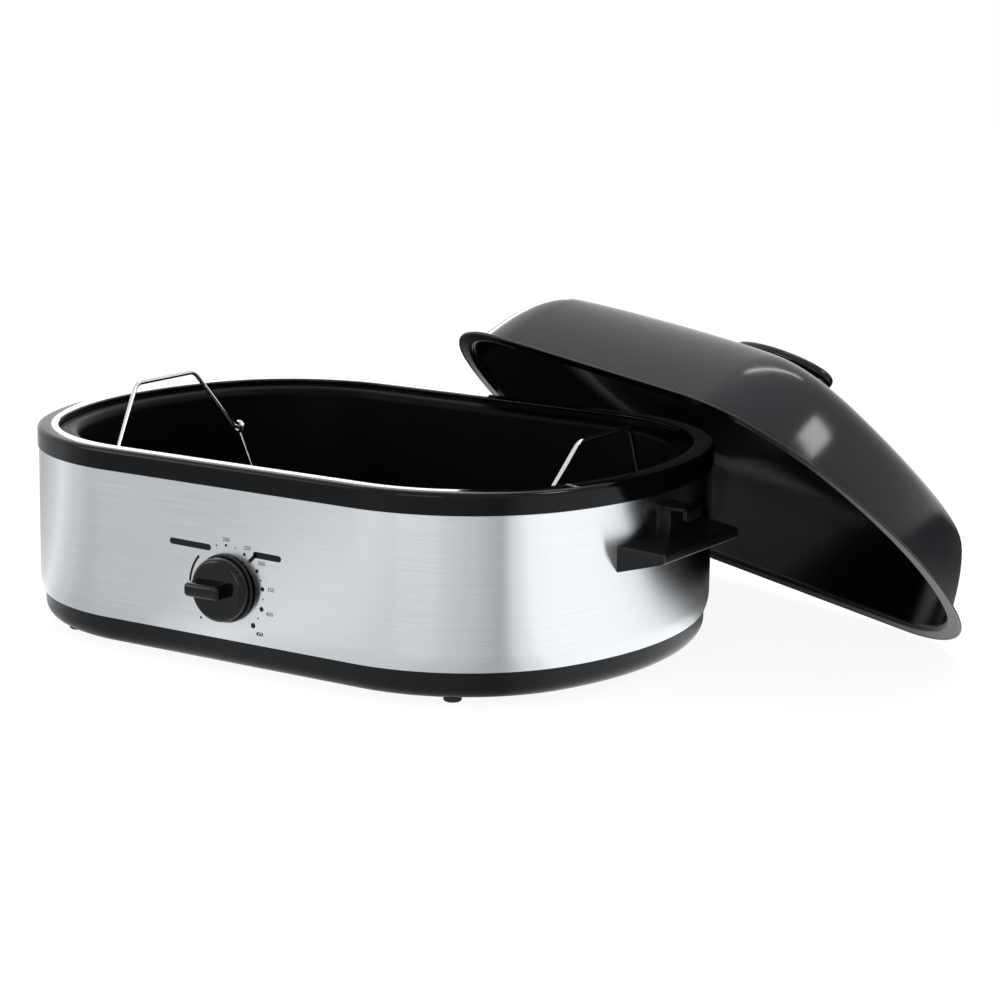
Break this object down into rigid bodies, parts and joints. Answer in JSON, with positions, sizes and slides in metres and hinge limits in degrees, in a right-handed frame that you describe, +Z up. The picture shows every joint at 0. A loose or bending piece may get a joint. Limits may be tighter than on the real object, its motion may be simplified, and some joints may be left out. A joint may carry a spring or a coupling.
{
  "type": "electric roaster oven",
  "caption": "Oval electric roaster oven with a steel wrap on a black base, lift-out pan and wire rack, front dial, side handles, and a loose domed lid leaning on its rear rim.",
  "frame": {"origin": "on the floor under the middle of the oven's body, not counting the leaning lid", "axes": "+X along the oven's length to its right end seen from the front, +Y to the back, +Z up; the knob faces -Y"},
  "size_m": [0.7734, 0.5611, 0.2639],
  "materials": {
    "brushed_band": "brushed, vertical reflections",
    "rim_enamel": "semi-gloss black enamel",
    "base_plastic": "fine satin black",
    "zinc_plate": "galvanised, dull",
    "rubber": "matte",
    "screw_steel": "zinc plated",
    "heater_mica": "mica strip heater, matte",
    "ceramic_block": "glazed white ceramic",
    "glass_wool": "fibrous mat",
    "thermostat_body": "brown moulded plastic",
    "copper": "dull copper",
    "lead_sleeve": "woven glass sleeve",
    "handle_plastic": "fine-grained satin black",
    "knob_plastic": "semi-gloss black",
    "pan_enamel": "satin black enamel",
    "chrome_wire": "bright",
    "lid_enamel": "gloss charcoal enamel"
  },
  "bodies": {
    "body": {"steel_band": "brushed_band", "top_rim": "rim_enamel", "base_skirt": "base_plastic", "bottom_plate": "zinc_plate", "rubber_feet": "rubber", "foot_screws": "screw_steel", "heating_well": "zinc_plate", "well_posts": "screw_steel", "band_heater": "heater_mica", "heater_terminals": "ceramic_block", "insulation_blanket": "glass_wool", "thermostat": "thermostat_body", "thermostat_bracket": "zinc_plate", "thermostat_screws": "screw_steel", "sensing_bulb": "copper", "thermal_fuse": "ceramic_block", "terminal_block": "ceramic_block", "internal_wires": "lead_sleeve", "cord_gland": "base_plastic", "left_handle": "handle_plastic", "right_handle": "handle_plastic", "handle_screws": "screw_steel"},
    "knob": {"knob_dial": "knob_plastic", "control_shaft": "screw_steel"},
    "pan": {"cooking_pan": "pan_enamel"},
    "rack": {"rack_grid": "chrome_wire", "rack_uprights": "chrome_wire"},
    "bail_left": {"rack_bail_left": "chrome_wire"},
    "bail_right": {"rack_bail_right": "chrome_wire"},
    "lid": {"lid_shell": "lid_enamel", "lid_handle": "knob_plastic", "lid_handle_posts": "knob_plastic", "lid_handle_screws": "screw_steel"}
  },
  "joints": [
    {"name": "knob_turn", "type": "hinge", "parent": "body", "child": "knob", "pos_m": [0.002, -0.2, 0.069], "axis": [0, 1, 0], "range_deg": [-45, 224]},
    {"name": "lid_lift", "type": "slide", "parent": "body", "child": "lid", "axis": [0, 0, 1], "range_m": [0, 0.35]},
    {"name": "pan_lift", "type": "slide", "parent": "body", "child": "pan", "axis": [0, 0, 1], "range_m": [0, 0.012]},
    {"name": "rack_lift", "type": "slide", "parent": "pan", "child": "rack", "axis": [0, 0, 1], "range_m": [0, 0.02]},
    {"name": "bail_left_fold", "type": "hinge", "parent": "rack", "child": "bail_left", "pos_m": [-0.207, 0, 0.13], "axis": [0, 1, 0], "range_deg": [0, 100]},
    {"name": "bail_right_fold", "type": "hinge", "parent": "rack", "child": "bail_right", "pos_m": [0.207, 0, 0.13], "axis": [0, -1, 0], "range_deg": [0, 100]}
  ]
}
